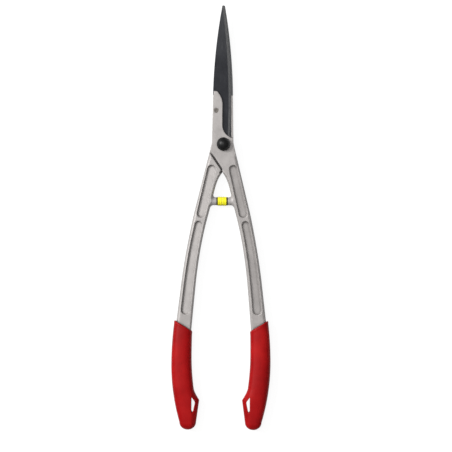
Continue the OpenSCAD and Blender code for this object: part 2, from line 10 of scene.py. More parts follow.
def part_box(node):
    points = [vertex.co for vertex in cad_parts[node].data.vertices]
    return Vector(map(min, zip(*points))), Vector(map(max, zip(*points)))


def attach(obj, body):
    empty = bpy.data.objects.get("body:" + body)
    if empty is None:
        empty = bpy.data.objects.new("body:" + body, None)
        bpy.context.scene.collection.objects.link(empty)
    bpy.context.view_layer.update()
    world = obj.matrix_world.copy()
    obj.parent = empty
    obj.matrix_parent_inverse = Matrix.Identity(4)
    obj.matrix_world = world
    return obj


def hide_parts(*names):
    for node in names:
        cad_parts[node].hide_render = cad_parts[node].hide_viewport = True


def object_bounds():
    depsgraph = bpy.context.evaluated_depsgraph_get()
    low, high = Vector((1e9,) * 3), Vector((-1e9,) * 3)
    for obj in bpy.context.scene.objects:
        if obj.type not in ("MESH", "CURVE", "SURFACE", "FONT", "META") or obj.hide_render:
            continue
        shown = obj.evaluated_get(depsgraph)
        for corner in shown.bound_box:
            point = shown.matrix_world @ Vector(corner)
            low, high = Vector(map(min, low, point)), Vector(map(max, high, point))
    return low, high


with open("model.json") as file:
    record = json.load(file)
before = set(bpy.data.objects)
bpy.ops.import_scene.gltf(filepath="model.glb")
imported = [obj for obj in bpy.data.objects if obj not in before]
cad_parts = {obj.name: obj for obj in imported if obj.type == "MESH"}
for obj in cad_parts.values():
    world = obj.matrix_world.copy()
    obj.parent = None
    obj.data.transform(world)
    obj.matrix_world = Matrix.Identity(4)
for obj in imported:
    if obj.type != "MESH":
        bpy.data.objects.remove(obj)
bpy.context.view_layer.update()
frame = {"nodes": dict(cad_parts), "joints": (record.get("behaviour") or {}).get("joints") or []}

MM = 1000.0
JOINT = [j for j in frame["joints"] if j["name"] == "pivot_hinge"][0]
PX, PY, PZ = [v * MM for v in JOINT["pos_m"]]
FRONT, REAR = "front_half", "rear_half"

# ---------------------------------------------------------------- materials


def new_material(name):
    m = bpy.data.materials.new(name)
    m.use_nodes = True
    nt = m.node_tree
    nt.nodes.clear()
    out = nt.nodes.new("ShaderNodeOutputMaterial")
    sh = nt.nodes.new("ShaderNodeBsdfPrincipled")
    nt.links.new(sh.outputs[0], out.inputs[0])
    return m, nt, sh


def node(nt, kind, values=None, **attrs):
    n = nt.nodes.new(kind)
    for k, v in attrs.items():
        setattr(n, k, v)
    for k, v in (values or {}).items():
        n.inputs[k].default_value = v
    return n


def link(nt, a, b):
    nt.links.new(a, b)


def coords(nt, scale=(1, 1, 1)):
    tc = node(nt, "ShaderNodeTexCoord")
    mp = node(nt, "ShaderNodeMapping")
    mp.inputs["Scale"].default_value = scale
    link(nt, tc.outputs["Object"], mp.inputs["Vector"])
    return mp.outputs[0]


def noise(nt, vec, scale, detail=3.0, rough=0.55):
    n = node(nt, "ShaderNodeTexNoise", {"Scale": scale, "Detail": detail, "Roughness": rough})
    link(nt, vec, n.inputs["Vector"])
    return n.outputs["Fac"]


def ramp(nt, fac, stops):
    r = node(nt, "ShaderNodeValToRGB")
    e = r.color_ramp.elements
    while len(e) < len(stops):
        e.new(0.5)
    for k, (p, c) in enumerate(stops):
        e[k].position = p
        e[k].color = c if len(c) == 4 else (*c, 1)
    link(nt, fac, r.inputs[0])
    return r.outputs[0]


def grey(v):
    return (v, v, v, 1)


def mapped(nt, fac, a, b, c, d):
    m = node(nt, "ShaderNodeMapRange")
    for k, v in zip(("From Min", "From Max", "To Min", "To Max"), (a, b, c, d)):
        m.inputs[k].default_value = v
    link(nt, fac, m.inputs["Value"])
    return m.outputs[0]


def mix(nt, fac, a, b, mode="MIX"):
    m = node(nt, "ShaderNodeMix", data_type="RGBA", blend_type=mode)
    for sock, v in ((m.inputs[0], fac), (m.inputs[6], a), (m.inputs[7], b)):
        if isinstance(v, bpy.types.NodeSocket):
            link(nt, v, sock)
        elif isinstance(v, (tuple, list)):
            sock.default_value = v if len(v) == 4 else (*v, 1)
        else:
            sock.default_value = v
    return m.outputs[2]


def mathn(nt, op, a, b=None, clamp=False):
    m = node(nt, "ShaderNodeMath", operation=op, use_clamp=clamp)
    for k, v in enumerate((a, b)):
        if v is None:
            continue
        if isinstance(v, bpy.types.NodeSocket):
            link(nt, v, m.inputs[k])
        else:
            m.inputs[k].default_value = v
    return m.outputs[0]


def bumps(nt, sh, layers):
    """Stacked bumps: (height socket, distance in metres, strength)."""
    last = None
    for height, dist, strength in layers:
        b = node(nt, "ShaderNodeBump", {"Strength": strength, "Distance": dist})
        link(nt, height, b.inputs["Height"])
        if last is not None:
            link(nt, last, b.inputs["Normal"])
        last = b.outputs[0]
    link(nt, last, sh.inputs["Normal"])


def cast_metal():
    """Fine blasted cast aluminium: mottled tone, painted shade in hollows and corners, brighter on
    rubbed edges.
    """
    m, nt, sh = new_material("cast_aluminium")
    v = coords(nt)
    blotch = noise(nt, v, 55, 4, 0.6)
    streak = noise(nt, coords(nt, (240, 26, 200)), 1.0, 3, 0.6)
    grain = noise(nt, v, 1900, 3, 0.7)
    tone = ramp(nt, blotch, [(0.28, (0.285, 0.268, 0.259)), (0.52, (0.352, 0.332, 0.321)),
                             (0.74, (0.412, 0.390, 0.378))])
    tone = mix(nt, mapped(nt, streak, 0.35, 0.75, 0.0, 0.30), tone, (0.430, 0.405, 0.393))
    tone = mix(nt, mapped(nt, grain, 0.32, 0.68, 0.0, 0.22), tone, (0.265, 0.248, 0.240))
    geo = node(nt, "ShaderNodeNewGeometry")
    worn = mapped(nt, geo.outputs["Pointiness"], 0.515, 0.60, 0.0, 1.0)
    hollow = mapped(nt, geo.outputs["Pointiness"], 0.485, 0.42, 0.0, 1.0)
    rub = mathn(nt, "MULTIPLY", worn, mapped(nt, noise(nt, v, 140, 3), 0.38, 0.66, 0.25, 1.0))
    tone = mix(nt, mathn(nt, "MULTIPLY", rub, 0.38), tone, (0.56, 0.53, 0.515))
    # Painted shade: the concave places are darkened.
    tone = mix(nt, mathn(nt, "MULTIPLY", hollow, 0.5), tone, (0.13, 0.118, 0.112))
    # Painted shade from ambient occlusion in the corners of the pockets, in the half lap and against the
    # grips, varied a little at random.
    near = node(nt, "ShaderNodeAmbientOcclusion", {"Distance": 0.0042}, samples=12)
    painted_shade = mapped(nt, near.outputs["AO"], 0.90, 0.52, 0.0, 1.0)
    painted_shade = mathn(nt, "MULTIPLY", painted_shade, mapped(nt, noise(nt, v, 210, 3), 0.30, 0.62, 0.70, 0.95))
    # The painted shade fades out towards the head.
    place = node(nt, "ShaderNodeSeparateXYZ")
    link(nt, v, place.inputs[0])
    shade_fade_from, shade_fade_to = PY / MM - 0.019, PY / MM - 0.012
    painted_shade = mathn(nt, "MULTIPLY", painted_shade, mapped(nt, place.outputs["Y"], shade_fade_from, shade_fade_to, 1.0, 0.16))
    # Painted shade: the occluded places are darkened towards near black.
    tone = mix(nt, painted_shade, tone, (0.050, 0.044, 0.042))
    link(nt, tone, sh.inputs["Base Color"])
    sh.inputs["Metallic"].default_value = 0.22
    sh.inputs["Specular IOR Level"].default_value = 0.4
    link(nt, mapped(nt, blotch, 0.3, 0.7, 0.44, 0.58), sh.inputs["Roughness"])
    bumps(nt, sh, [(grain, 0.00012, 0.45), (blotch, 0.0005, 0.16)])
    return m


def blade_steel():
    """Dark coated blade with cross grinding marks and a bare ground bevel along the edge."""
    m, nt, sh = new_material("coated_blade_steel")
    v = coords(nt)
    cross = noise(nt, coords(nt, (60, 2600, 60)), 1.0, 4, 0.65)
    along = noise(nt, coords(nt, (900, 40, 300)), 1.0, 3, 0.6)
    cloud = noise(nt, v, 38, 4, 0.6)
    tone = ramp(nt, cloud, [(0.3, (0.009, 0.0095, 0.0125)), (0.7, (0.020, 0.021, 0.025))])
    tone = mix(nt, mapped(nt, cross, 0.4, 0.75, 0.0, 0.30), tone, (0.048, 0.049, 0.054))
    place = node(nt, "ShaderNodeSeparateXYZ")
    link(nt, v, place.inputs[0])
    # Lighter towards the tips.
    tip_lightening = mapped(nt, place.outputs["Y"], 0.235, 0.325, 0.0, 0.36)
    tone = mix(nt, tip_lightening, tone, (0.062, 0.063, 0.067))
    # Scuffs where the two blades slide over each other.
    scuff = mathn(nt, "MULTIPLY", mapped(nt, along, 0.60, 0.72, 0.0, 1.0),
                  mapped(nt, noise(nt, v, 90, 3), 0.45, 0.62, 0.0, 1.0))
    tone = mix(nt, mathn(nt, "MULTIPLY", scuff, 0.5), tone, (0.11, 0.11, 0.115))
    # The bevel is the only broad face whose normal is neither up, down nor level.
    geo = node(nt, "ShaderNodeNewGeometry")
    sep = node(nt, "ShaderNodeSeparateXYZ")
    link(nt, geo.outputs["True Normal"], sep.inputs[0])
    up = mathn(nt, "ABSOLUTE", sep.outputs["Z"])
    slant = mathn(nt, "MULTIPLY", mapped(nt, up, 0.45, 0.55, 0, 1), mapped(nt, up, 0.985, 0.96, 0, 1))
    ground = ramp(nt, cross, [(0.3, (0.165, 0.167, 0.170)), (0.7, (0.265, 0.266, 0.270))])
    # The two faces that slide on each other are ground bare as well.
    level = mathn(nt, "ABSOLUTE", mathn(nt, "SUBTRACT", place.outputs["Z"], PZ / MM))
    inner = mathn(nt, "MULTIPLY", mathn(nt, "LESS_THAN", level, 0.00035),
                  mapped(nt, up, 0.985, 0.995, 0, 1))
    tone = mix(nt, mathn(nt, "MULTIPLY", inner, 0.8), tone, (0.086, 0.087, 0.089))
    tone = mix(nt, slant, tone, ground)
    link(nt, tone, sh.inputs["Base Color"])
    sh.inputs["Metallic"].default_value = 0.45
    sh.inputs["Specular IOR Level"].default_value = 0.20
    link(nt, mapped(nt, cross, 0.3, 0.7, 0.34, 0.50), sh.inputs["Roughness"])
    bumps(nt, sh, [(cross, 0.00008, 0.35), (cloud, 0.0004, 0.06)])
    return m


def elastomer(name, dark, mid, light, scale=1500):
    """Soft moulded rubber: fine stipple, slow tone changes, paler where it is handled, painted shade in
    hollows.
    """
    m, nt, sh = new_material(name)
    v = coords(nt)
    cloud = noise(nt, v, 28, 3, 0.55)
    stipple = noise(nt, v, scale, 2, 0.6)
    tone = ramp(nt, cloud, [(0.32, dark), (0.52, mid), (0.74, light)])
    tone = mix(nt, mapped(nt, stipple, 0.35, 0.65, 0.10, 0.0), tone, tuple(0.45 * c for c in dark))
    geo = node(nt, "ShaderNodeNewGeometry")
    worn = mapped(nt, geo.outputs["Pointiness"], 0.52, 0.62, 0.0, 0.35)
    tone = mix(nt, worn, tone, light)
    # Painted shade: the concave places are darkened.
    hollow = mapped(nt, geo.outputs["Pointiness"], 0.48, 0.40, 0.0, 0.6)
    tone = mix(nt, hollow, tone, tuple(0.4 * c for c in dark))
    link(nt, tone, sh.inputs["Base Color"])
    sh.inputs["Specular IOR Level"].default_value = 0.13
    link(nt, mapped(nt, cloud, 0.3, 0.7, 0.40, 0.54), sh.inputs["Roughness"])
    bumps(nt, sh, [(stipple, 0.0001, 0.30), (noise(nt, v, 90, 2), 0.0006, 0.10)])
    return m


def turned_steel(name, low, high, metallic=0.85, rough=(0.28, 0.42)):
    """Plain turned or stamped steel with fine rings and faint tarnish."""
    m, nt, sh = new_material(name)
    v = coords(nt)
    tarnish = noise(nt, v, 260, 4, 0.6)
    lines = noise(nt, v, 3200, 2, 0.7)
    tone = ramp(nt, tarnish, [(0.32, low), (0.70, high)])
    tone = mix(nt, mapped(nt, lines, 0.35, 0.65, 0.0, 0.25), tone, tuple(0.5 * c for c in low))
    link(nt, tone, sh.inputs["Base Color"])
    sh.inputs["Metallic"].default_value = metallic
    link(nt, mapped(nt, tarnish, 0.3, 0.7, rough[0], rough[1]), sh.inputs["Roughness"])
    bumps(nt, sh, [(lines, 0.00005, 0.3), (tarnish, 0.0002, 0.08)])
    return m


def hard_plastic(name, low, high, rough=(0.22, 0.34), shine=0.5):
    """Moulded plastic with a faint orange peel and dust in the tone."""
    m, nt, sh = new_material(name)
    v = coords(nt)
    peel = noise(nt, v, 900, 2, 0.5)
    cloud = noise(nt, v, 120, 3, 0.6)
    tone = ramp(nt, cloud, [(0.35, low), (0.70, high)])
    link(nt, tone, sh.inputs["Base Color"])
    link(nt, mapped(nt, cloud, 0.3, 0.7, rough[0], rough[1]), sh.inputs["Roughness"])
    sh.inputs["Specular IOR Level"].default_value = shine
    bumps(nt, sh, [(peel, 0.00008, 0.18), (cloud, 0.0003, 0.05)])
    return m


CAST = cast_metal()
BLADE = blade_steel()
RED = elastomer("red_elastomer", (0.25, 0.0010, 0.0018), (0.32, 0.0018, 0.0028),
                (0.39, 0.0050, 0.0050))
YELLOW = elastomer("yellow_elastomer", (0.74, 0.665, 0.009), (0.82, 0.755, 0.015),
                   (0.87, 0.82, 0.04), scale=1900)
# The collar's dark olive-brown is partly its own colour and partly painted shade from the dark bands
# beside the bumper.
SEAT = hard_plastic("seat_plastic", (0.045, 0.038, 0.012), (0.085, 0.072, 0.022), (0.40, 0.55))
BLACK = hard_plastic("black_cap_plastic", (0.0022, 0.0022, 0.0024), (0.004, 0.004, 0.0043),
                     (0.40, 0.48), shine=0.28)
ZINC = turned_steel("zinc_plated_steel", (0.34, 0.34, 0.36), (0.50, 0.50, 0.52))
SPRING = turned_steel("spring_steel", (0.10, 0.10, 0.11), (0.20, 0.20, 0.22))
SCREW = turned_steel("burnished_steel", (0.11, 0.098, 0.088), (0.21, 0.19, 0.17), 0.5, (0.40, 0.55))
BRASS = turned_steel("bearing_brass", (0.45, 0.30, 0.11), (0.62, 0.44, 0.18))
NYLON = hard_plastic("insert_nylon", (0.66, 0.65, 0.60), (0.80, 0.79, 0.74), (0.4, 0.55))

# ---------------------------------------------------------------- solid shapes


def rmax(a, b, r):
    """Intersection of two solids with its edge rounded to radius r."""
    u = np.maximum(r + a, 0)
    v = np.maximum(r + b, 0)
    return np.minimum(-r, np.maximum(a, b)) + np.sqrt(u * u + v * v)


def rmin(a, b, r):
    """Union of two solids with a fillet of radius r."""
    return -rmax(-a, -b, r)


def smooth(a, b, x):
    t = np.clip((x - a) / (b - a), 0, 1)
    return t * t * (3 - 2 * t)


def surface(F, xs, ys, zs):
    """The zero surface of a distance field, as points and quads: one point per cell that it
    passes through, at the middle of the places where it cuts the cell's edges."""
    s = F < 0
    nx, ny, nz = F.shape
    corner = [(i, j, k) for i in (0, 1) for j in (0, 1) for k in (0, 1)]
    c = [s[i:nx - 1 + i, j:ny - 1 + j, k:nz - 1 + k] for i, j, k in corner]
    active = np.logical_or.reduce(c) & ~np.logical_and.reduce(c)
    index = np.full(active.shape, -1, np.int64)
    I, J, K = np.nonzero(active)
    index[active] = np.arange(len(I))
    P = np.zeros((len(I), 3))
    W = np.zeros(len(I))
    ax = (np.asarray(xs), np.asarray(ys), np.asarray(zs))
    for a in corner:
        for d in range(3):
            if a[d]:
                continue
            b = list(a)
            b[d] = 1
            fa = F[I + a[0], J + a[1], K + a[2]]
            fb = F[I + b[0], J + b[1], K + b[2]]
            on = (fa < 0) != (fb < 0)
            t = np.where(on, fa / np.where(on, fa - fb, 1), 0)
            pa = np.stack([ax[e][(I, J, K)[e] + a[e]] for e in range(3)], 1)
            pb = np.stack([ax[e][(I, J, K)[e] + b[e]] for e in range(3)], 1)
            P[on] += (pa + (pb - pa) * t[:, None])[on]
            W[on] += 1
    P /= W[:, None]
    quads = []
    for d in range(3):
        u, v = (d + 1) % 3, (d + 2) % 3
        lo = [slice(None)] * 3
        hi = [slice(None)] * 3
        lo[d], hi[d] = slice(0, -1), slice(1, None)
        cross = s[tuple(lo)] != s[tuple(hi)]
        inside = s[tuple(lo)]
        keep = np.zeros_like(cross)
        inner = [slice(None)] * 3
        inner[u] = slice(1, -1)
        inner[v] = slice(1, -1)
        keep[tuple(inner)] = cross[tuple(inner)]
        at = np.stack(np.nonzero(keep), 1)
        out = inside[keep]
        ring = []
        for du, dv in ((-1, -1), (0, -1), (0, 0), (-1, 0)):
            q = at.copy()
            q[:, u] += du
            q[:, v] += dv
            ring.append(index[q[:, 0], q[:, 1], q[:, 2]])
        ring = np.stack(ring, 1)
        ring[~out] = ring[~out][:, ::-1]
        quads.append(ring)
    return P, np.vstack(quads)


def extent(loop):
    """Area of the box around a loop."""
    return np.prod(np.ptp(loop.reshape(-1, 2), axis=0))


def segments_at(name, side, z):
    """Loops of segments where a CAD node is cut at height z, largest first, in the half's own
    frame in mm."""
    mesh = frame["nodes"][name].data
    mesh.calc_loop_triangles()
    co = np.zeros(len(mesh.vertices) * 3)
    mesh.vertices.foreach_get("co", co)
    co = to_local(co.reshape(-1, 3) * MM, side)
    tri = np.zeros(len(mesh.loop_triangles) * 3, np.int64)
    mesh.loop_triangles.foreach_get("vertices", tri)
    T = co[tri.reshape(-1, 3)]
    h = T[:, :, 2] - z
    segs = []
    for t, g in zip(T, h):
        if (g > 0).all() or (g <= 0).all():
            continue
        pts = []
        for a, b in ((0, 1), (1, 2), (2, 0)):
            if (g[a] > 0) != (g[b] > 0):
                f = g[a] / (g[a] - g[b])
                pts.append(t[a, :2] + (t[b, :2] - t[a, :2]) * f)
        if np.abs(pts[0] - pts[1]).max() > 1e-5:
            segs.append(pts)
    # Group the segments that touch into loops.
    parent = list(range(len(segs)))

    def find(i):
        while parent[i] != i:
            parent[i] = parent[parent[i]]
            i = parent[i]
        return i
    ends = {}
    for i, (a, b) in enumerate(segs):
        for p in (a, b):
            key = (round(p[0], 2), round(p[1], 2))
            for dx in (-0.01, 0, 0.01):
                for dy in (-0.01, 0, 0.01):
                    other = ends.get((round(key[0] + dx, 2), round(key[1] + dy, 2)))
                    if other is not None:
                        parent[find(i)] = find(other)
            ends[key] = i
    loops = {}
    for i in range(len(segs)):
        loops.setdefault(find(i), []).append(segs[i])
    loops = [np.array(v) for v in loops.values() if len(v) > 2]
    return sorted(loops, key=lambda s: -extent(s))


def flat_distance(segs, X, Y):
    """Signed distance to closed loops of segments, negative inside."""
    best = np.full(X.shape, 1e9)
    odd = np.zeros(X.shape, bool)
    for a, b in segs:
        d = b - a
        t = np.clip(((X - a[0]) * d[0] + (Y - a[1]) * d[1]) / max(d @ d, 1e-12), 0, 1)
        best = np.minimum(best, (X - a[0] - t * d[0]) ** 2 + (Y - a[1] - t * d[1]) ** 2)
        if a[1] != b[1]:
            cut = (a[1] > Y) != (b[1] > Y)
            odd ^= cut & (X < a[0] + (Y - a[1]) * d[0] / (d[1] or 1e-12))
    best = np.sqrt(best)
    return np.where(odd, -best, best).astype(np.float32)


def closed(points):
    """The segments of a closed outline."""
    pts = [np.array(p, float) for p in points]
    return [(pts[i], pts[(i + 1) % len(pts)]) for i in range(len(pts))]


def to_local(co, side):
    """From the frame, in mm, to a half's own frame about the pivot (the rear half is turned over)."""
    out = co - np.array([0, PY, PZ])
    return out * np.array([side, 1, side])


def to_world(co, side):
    return (co * np.array([side, 1, side]) + np.array([0, PY, PZ])) / MM


def finish_piece(ob, body, stands_for):
    """Even shading over broad faces, and the piece's place in the frame."""
    w = ob.modifiers.new("even_shading", "WEIGHTED_NORMAL")
    w.weight = 60
    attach(ob, body)
    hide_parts(stands_for)


def shape(name, points, faces, side, body, mat, stands_for, keep):
    """A piece made of quads in a half's own frame, thinned to a share of its triangles."""
    me = bpy.data.meshes.new(name)
    co = to_world(np.asarray(points), side)
    me.vertices.add(len(co))
    me.vertices.foreach_set("co", co.ravel())
    faces = np.asarray(faces)
    me.loops.add(faces.size)
    me.loops.foreach_set("vertex_index", faces.ravel())
    me.polygons.add(len(faces))
    me.polygons.foreach_set("loop_start", np.arange(0, faces.size, faces.shape[1]))
    me.update(calc_edges=True)
    me.validate()
    me.polygons.foreach_set("use_smooth", [True] * len(me.polygons))
    me.materials.append(mat)
    ob = bpy.data.objects.new(name, me)
    bpy.context.scene.collection.objects.link(ob)
    bpy.context.view_layer.objects.active = ob
    dec = ob.modifiers.new("lean", "DECIMATE")
    dec.ratio = keep
    bpy.ops.object.modifier_apply(modifier="lean")
    ob.data.polygons.foreach_set("use_smooth", [True] * len(ob.data.polygons))
    finish_piece(ob, body, stands_for)


def local_box(name, side):
    a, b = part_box(name)
    c = to_local(np.array([list(a), list(b)]) * MM, side)
    return c.min(0), c.max(0)


# ---------------------------------------------------------------- castings

DRAFT = 2.35            # how far a side slants in from the mould's parting band to the face
BAND = 1.3              # half height of the upright band at the parting line
EDGE = 0.5              # rounding of the outer edges
LAP_ANGLE = 34          # the half lap's two walls lean by this much, in degrees
LAP_REACH = 24.3        # and pass the pivot at this distance
LAP_LOW, LAP_HIGH = 0.2, 3.4    # heights of the half lap's steps
RIM_SLOPE = 0.40        # lean of the outer rim's top
RIM_WIDTH = 4.4
RIM_LEAN_LENGTH = math.sqrt(1 + RIM_SLOPE ** 2)
FLOOR_SLOPE = 0.12      # lean of the pocket floors
FLOOR_MIDDLE = 11.0     # distance from the outer side at which the floor has its full depth
POCKET_DEPTH = 3.6
POCKET_WALL = 0.20      # slant of the pockets' walls
POCKET_MIN_AREA = 400   # smaller loops in the head are bores
BOSS_R, BOSS_LENGTH, BOSS_FILLET = 6.2, 16.0, 4.2
BAR_HALF_T, BAR_END = 4.5, 288.0    # the bar inside the grip
SCREW_HEAD_DEPTH, SCREW_HEAD_STEP = 1.8, 1.0


def top_edge(segs, y):
    """Largest x at which the outline crosses a line at height y."""
    hit = [a[0] + (y - a[1]) * (b[0] - a[0]) / (b[1] - a[1])
           for a, b in segs if (a[1] > y) != (b[1] > y)]
    return max(hit, default=0.0)


def from_lap(X, Y, sign):
    """Distance from one of the half lap's two walls."""
    lean = math.radians(LAP_ANGLE)
    return abs(np.cos(lean) * X + sign * (np.sin(lean) * Y + LAP_REACH))


def casting(name, side, body, seat):
    """A cast half: the CAD node's sections with slanting sides, rounded edges and fillets."""
    lo, hi = local_box(name, side)
    half_t = (hi[2] - lo[2]) / 2
    xs = np.arange(lo[0] - 1.3, hi[0] + 1.3, 0.5)
    ys = np.arange(lo[1] - 1.6, hi[1] + 1.6, 0.8)
    zs = np.arange(-half_t - 1.0, half_t + 1.01, 0.5)
    X, Y = np.meshgrid(xs, ys, indexing="ij")
    top = segments_at(name, side, half_t - 0.12)
    low = segments_at(name, side, -half_t + 0.12)
    mid = segments_at(name, side, 1.7)
    high_d = flat_distance(top[0], X, Y)
    low_d = flat_distance(low[0], X, Y)
    mid_d = flat_distance(np.vstack(mid), X, Y)
    pockets_top = [flat_distance(loop, X, Y) for loop in top[1:] if extent(loop) > POCKET_MIN_AREA]
    pockets_low = [flat_distance(loop, X, Y) for loop in low[1:] if extent(loop) > POCKET_MIN_AREA]
    bores = [loop for loop in top[1:] if extent(loop) <= POCKET_MIN_AREA]
    pivot_bores = [loop for loop in bores if abs(loop.reshape(-1, 2)[:, 1].mean()) < 20]
    screw_bores = [loop for loop in bores if loop.reshape(-1, 2)[:, 1].mean() > 30]
    # The slanting sides run along the arms and fade out towards the head and the half lap.
    near_lap = (1 - smooth(1.5, 6, from_lap(X, Y, 1))) * smooth(6, -1, X)
    draft = smooth(-2, -20, Y) * (1 - near_lap) * smooth(0.5, 4, from_lap(X, Y, -1))
    slope = (DRAFT / (half_t - BAND) * draft).astype(np.float32)[:, :, None]
    lean = 1 / np.sqrt(1 + slope * slope)
    Z = zs.astype(np.float32)[None, None, :]
    aZ = np.abs(Z)

    # The top of the outer rim leans outwards, and so do the pocket floors.
    side_x = np.array([top_edge(np.vstack([top[0], low[0]]), y) for y in ys])
    inset = np.clip((side_x[None, :] - X) * 0.985, 0, 30)
    fade = smooth(-4, -34, Y)
    rim = (RIM_SLOPE * np.maximum(RIM_WIDTH - inset, 0) * fade).astype(np.float32)[:, :, None]
    floor_dip = (FLOOR_SLOPE * (FLOOR_MIDDLE - inset) * fade).astype(np.float32)[:, :, None]
    crown = (aZ + rim - half_t) / np.where(rim > 0, RIM_LEAN_LENGTH, 1)

    def sided(d):
        d = d[:, :, None]
        return np.maximum(d, (d + slope * (aZ - BAND)) * lean)
    high_s = sided(high_d)
    low_s = sided(low_d)
    arm_s = sided(np.maximum(high_d, low_d))
    solid = rmax(arm_s, crown, EDGE)
    solid = np.minimum(solid, rmax(low_s, np.maximum(Z - LAP_LOW, crown), EDGE))
    solid = np.minimum(solid, rmax(high_s, np.maximum(LAP_HIGH - Z, crown), EDGE))
    solid = np.minimum(solid, rmax(np.maximum(high_s, mid_d[:, :, None]),
                                   np.maximum(LAP_LOW - Z, crown), EDGE))
    # The boss of the bumper is filleted into the arm and cut level where the bumper sits.
    b_lo, b_hi = local_box(seat, side)
    boss_y, boss_x = (b_lo[1] + b_hi[1]) / 2, b_hi[0]
    reach = np.hypot(Y[:, :, None] - boss_y, Z) - BOSS_R
    ends = np.maximum(boss_x - X, X - (boss_x + BOSS_LENGTH))[:, :, None]
    boss = rmax(np.broadcast_to(reach, solid.shape), ends, 0.6)
    with_boss = np.maximum(rmin(solid, boss.astype(np.float32), BOSS_FILLET), aZ - half_t)
    solid = np.minimum(solid, np.maximum(with_boss, (boss_x - X)[:, :, None]))
    # The bar runs on inside the grip.
    bar = np.maximum(mid_d, Y + BAR_END)[:, :, None]
    solid = np.minimum(solid, rmax(np.broadcast_to(bar, solid.shape), aZ - BAR_HALF_T, 0.8))
    # The pockets have slanting walls and a filleted floor.
    for sign, group in ((1, pockets_top), (-1, pockets_low)):
        for p in group:
            d = (p[:, :, None] + POCKET_WALL * (half_t - sign * Z)) / math.sqrt(1 + POCKET_WALL ** 2)
            pocket = rmax(d, (half_t - POCKET_DEPTH) - floor_dip - sign * Z, 0.9)
            solid = rmax(solid, -pocket, 0.45)
    for loop in pivot_bores:
        d = flat_distance(loop, X, Y)[:, :, None]
        solid = np.maximum(solid, -np.maximum(d, -0.5 - Z))
    for loop in screw_bores:
        d = flat_distance(loop, X, Y)[:, :, None]
        d = np.where(Z > half_t - SCREW_HEAD_DEPTH, d, d + SCREW_HEAD_STEP)
        solid = np.maximum(solid, -np.maximum(d, -0.5 - Z))
    points, quads = surface(solid.astype(np.float32), xs, ys, zs)
    shape(name + "_casting", points, quads, side, body, CAST, name, keep=0.30)


casting("front_handle", 1, FRONT, "front_bumper_seat")
casting("rear_handle", -1, REAR, "rear_bumper_seat")

# ---------------------------------------------------------------- grips

# Sizes of the sleeve in a half's own frame, the distances along it counted from the pivot.
G = dict(out_x=76.5, out_y=339.0, r_up=520.0, r_low=308.0, in_x=45.25, in_y=326.0, in_r=360.0,
         hook_start=377.0, hook_y=394.5, hook_x=33.0, hook_angle=7.8, end_len=11.5,
         rim_y=271.6, rim_angle=31.0, hang_x=45.0, hang_w=5.2, hang_top=389.8, hang_len=23.6)
SECTION_POWER = 2.4     # between an ellipse (2) and a box
BEAD = 0.22             # swelling of the sleeve just below its rim


def grip_outer(d):
    """The outer side: one arc above its widest place and a tighter one below."""
    return np.where(d < G["out_y"], G["out_x"] - (G["out_y"] - d) ** 2 / (2 * G["r_up"]),
                    G["out_x"] - (d - G["out_y"]) ** 2 / (2 * G["r_low"]))


def hollow_x(d):
    """The inner side above the hook, slightly hollow."""
    return G["in_x"] - np.where(d < G["in_y"], 0.00035, 0.5 / G["in_r"]) * (d - G["in_y"]) ** 2


def grip_inner(d):
    """The inner side: the hollow, the finger hook and the straight run to the end."""
    t = np.clip((d - G["hook_start"]) / (G["hook_y"] - G["hook_start"]), 0, 1)
    at = hollow_x(np.float64(G["hook_start"]))
    hook = at + (G["hook_x"] - at) * t ** 1.35
    line = G["hook_x"] + (d - G["hook_y"]) * math.tan(math.radians(G["hook_angle"]))
    return np.where(d < G["hook_start"], hollow_x(d), np.where(d < G["hook_y"], hook, line))


def hang_hole():
    """Outline of the leaf-shaped hanging hole."""
    x, top, low, w = G["hang_x"], -G["hang_top"], -G["hang_top"] - G["hang_len"], G["hang_w"]
    return closed([(x - 0.1, top), (x, top - 1.2), (x, low + 2.4), (x - 0.9, low + 0.3),
                   (x - 1.6, low), (x - 2.5, low + 1.2), (x - w + 0.2, top - 10.6),
                   (x - w, top - 8.6), (x - w + 0.4, top - 6.6)])


def grip(name, side, body):
    """A soft sleeve: rounded sections along the arm, cut by the slanting rim and the hole."""
    lo, hi = local_box(name, side)
    half_t = (hi[2] - lo[2]) / 2
    end = -lo[1]
    cap = end - G["end_len"]
    xs = np.arange(lo[0] - 1.5, hi[0] + 1.5, 0.6)
    ys = np.arange(lo[1] - 1.8, -G["rim_y"] + 4, 0.8)
    zs = np.arange(-half_t - 1.4, half_t + 1.41, 0.7)
    X, Y, Z = np.meshgrid(xs, ys, zs, indexing="ij")
    D = -Y
    E = np.minimum(D, cap)
    x_in, x_out = grip_inner(E), grip_outer(E)
    middle, half_w = (x_in + x_out) / 2, (x_out - x_in) / 2
    # Half the thickness: less towards the rim, towards the end and on the hook.
    thick = np.where(E < 300, half_t - 1.2 * ((300 - E) / 40) ** 2,
                     np.where(E < 370, half_t,
                              half_t - 4.2 * (np.maximum(E - 370, 0) / (end - 370)) ** 1.4))
    thick = thick * (1 - 0.34 * smooth(46, 34, X) * smooth(372, 388, D))
    n = SECTION_POWER
    q = (np.abs((X - middle) / half_w) ** n + np.abs(Z / thick) ** n) ** (1 / n)
    q = np.sqrt(q * q + (np.maximum(D - cap, 0) / G["end_len"]) ** 2)
    solid = (q - 1) * np.minimum(half_w, thick)
    slant = math.radians(G["rim_angle"])
    rim_x = float(grip_outer(np.float64(G["rim_y"])))
    rim = (Y + G["rim_y"]) * math.cos(slant) - (X - rim_x) * math.sin(slant)
    solid = solid - BEAD * np.exp(-((rim + 2.2) / 1.5) ** 2)
    solid = rmax(solid, rim, 1.3)
    hole = flat_distance(hang_hole(), X[:, :, 0], Y[:, :, 0])[:, :, None]
    solid = rmax(solid, -np.broadcast_to(hole, solid.shape), 0.9)
    points, quads = surface(solid, xs, ys, zs)
    shape(name + "_sleeve", points, quads, side, body, RED, name, keep=0.55)


grip("front_grip", 1, FRONT)
grip("rear_grip", -1, REAR)

# ---------------------------------------------------------------- turned pieces


